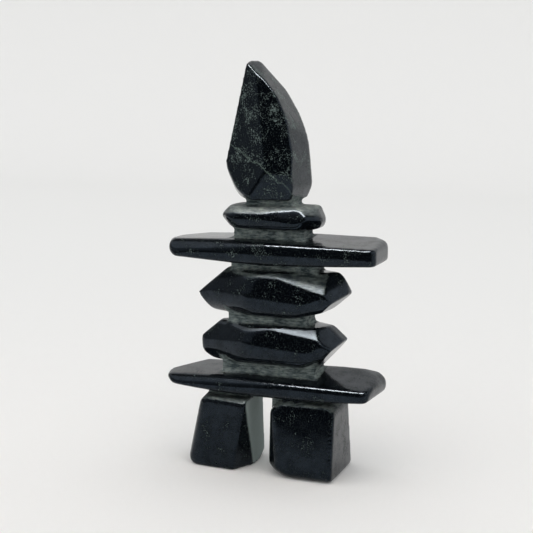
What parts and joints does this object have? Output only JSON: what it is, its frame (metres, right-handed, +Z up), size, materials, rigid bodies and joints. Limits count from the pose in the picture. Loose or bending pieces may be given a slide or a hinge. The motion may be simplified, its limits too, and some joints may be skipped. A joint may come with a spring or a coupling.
{
  "type": "stone cairn",
  "caption": "Standing stone cairn in the form of a person, carved from a block of dark polished stone, with filed grooves between its stones.",
  "frame": {"origin": "on the floor under the middle of the figure", "axes": "+Z up, towards the tip of the head; +X to the figure's right-hand end in the front view; the front faces -Y"},
  "size_m": [0.1102, 0.0394, 0.2],
  "materials": {
    "polished_stone": "polished, with matte filed grooves"
  },
  "bodies": {
    "root": {"carved_cairn": "polished_stone"}
  },
  "joints": []
}
